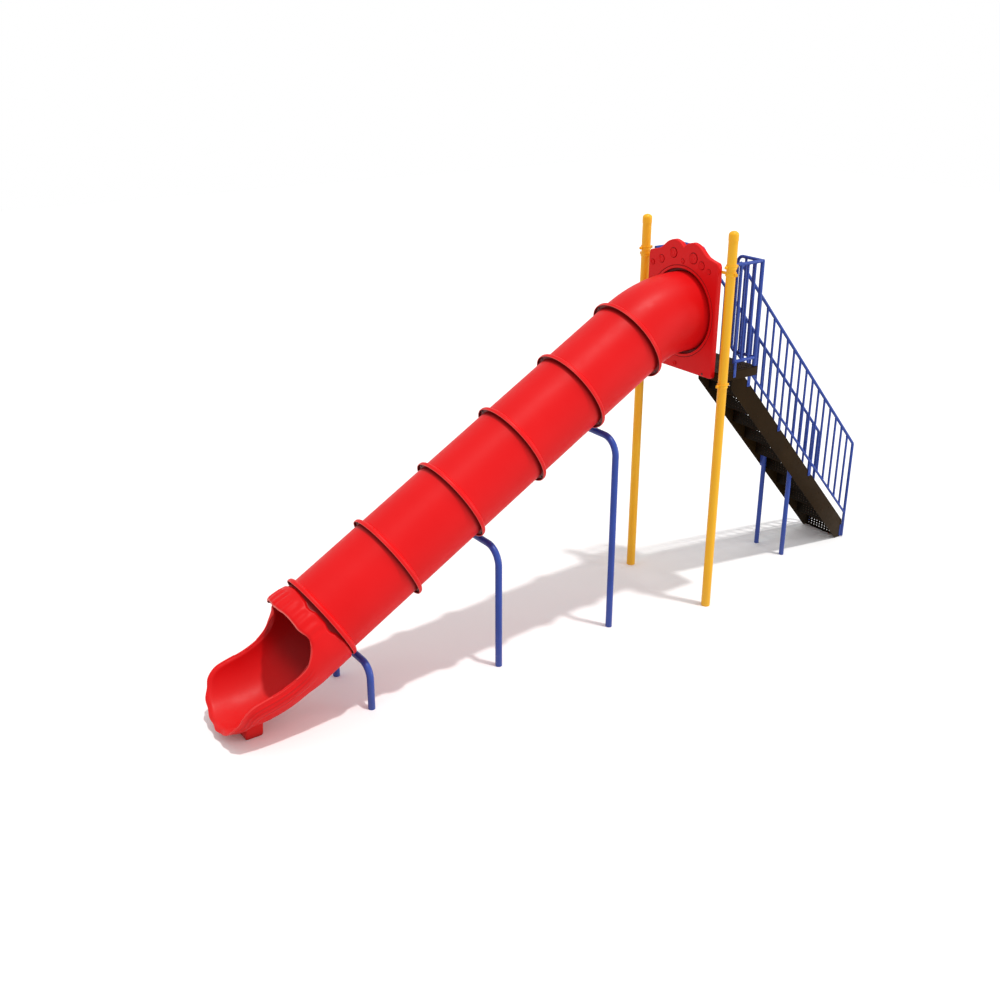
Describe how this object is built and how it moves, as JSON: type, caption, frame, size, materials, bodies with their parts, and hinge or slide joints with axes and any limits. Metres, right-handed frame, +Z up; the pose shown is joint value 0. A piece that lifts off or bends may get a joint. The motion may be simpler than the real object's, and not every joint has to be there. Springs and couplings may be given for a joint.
{
  "type": "playground slide",
  "caption": "Free-standing enclosed tube slide in bolted moulded sections, with hooded open exit, entry panel between two posts, guarded deck and a straight stair with barred handrails.",
  "frame": {"origin": "on the ground, under the middle of the part's length and of its width", "axes": "+X towards the stair, -X towards the slide's exit, -Y is the side that faces the camera, +Z up"},
  "size_m": [7.526, 1.3316, 3.78],
  "materials": {
    "moulded_red": "satin rotomoulded polyethylene",
    "blue_paint": "satin powder coat",
    "yellow_paint": "satin powder coat",
    "brown_coating": "dark dipped vinyl coat on perforated steel",
    "zinc_bolt": "zinc plated"
  },
  "bodies": {
    "root": {"entry_panel": "moulded_red", "entry_elbow": "moulded_red", "tube_section_1": "moulded_red", "tube_section_2": "moulded_red", "tube_section_3": "moulded_red", "tube_section_4": "moulded_red", "tube_section_5": "moulded_red", "exit_section": "moulded_red", "exit_foot": "moulded_red", "upper_support": "blue_paint", "upper_saddle": "blue_paint", "middle_support": "blue_paint", "middle_saddle": "blue_paint", "lower_support": "blue_paint", "lower_saddle": "blue_paint", "near_stair_leg": "blue_paint", "near_handrail": "blue_paint", "near_side_guard": "blue_paint", "near_return_guard": "blue_paint", "far_stair_leg": "blue_paint", "far_handrail": "blue_paint", "far_side_guard": "blue_paint", "far_return_guard": "blue_paint", "near_post": "yellow_paint", "near_post_cap": "yellow_paint", "near_guard_clamp": "yellow_paint", "near_panel_clamp": "yellow_paint", "near_deck_clamp": "yellow_paint", "far_post": "yellow_paint", "far_post_cap": "yellow_paint", "far_guard_clamp": "yellow_paint", "far_panel_clamp": "yellow_paint", "far_deck_clamp": "yellow_paint", "deck": "brown_coating", "near_stringer": "brown_coating", "far_stringer": "brown_coating", "tread_01": "brown_coating", "tread_02": "brown_coating", "tread_03": "brown_coating", "tread_04": "brown_coating", "tread_05": "brown_coating", "tread_06": "brown_coating", "tread_07": "brown_coating", "tread_08": "brown_coating", "tread_09": "brown_coating", "tread_10": "brown_coating", "bottom_riser": "brown_coating", "near_panel_bolt": "zinc_bolt", "far_panel_bolt": "zinc_bolt"}
  },
  "joints": []
}
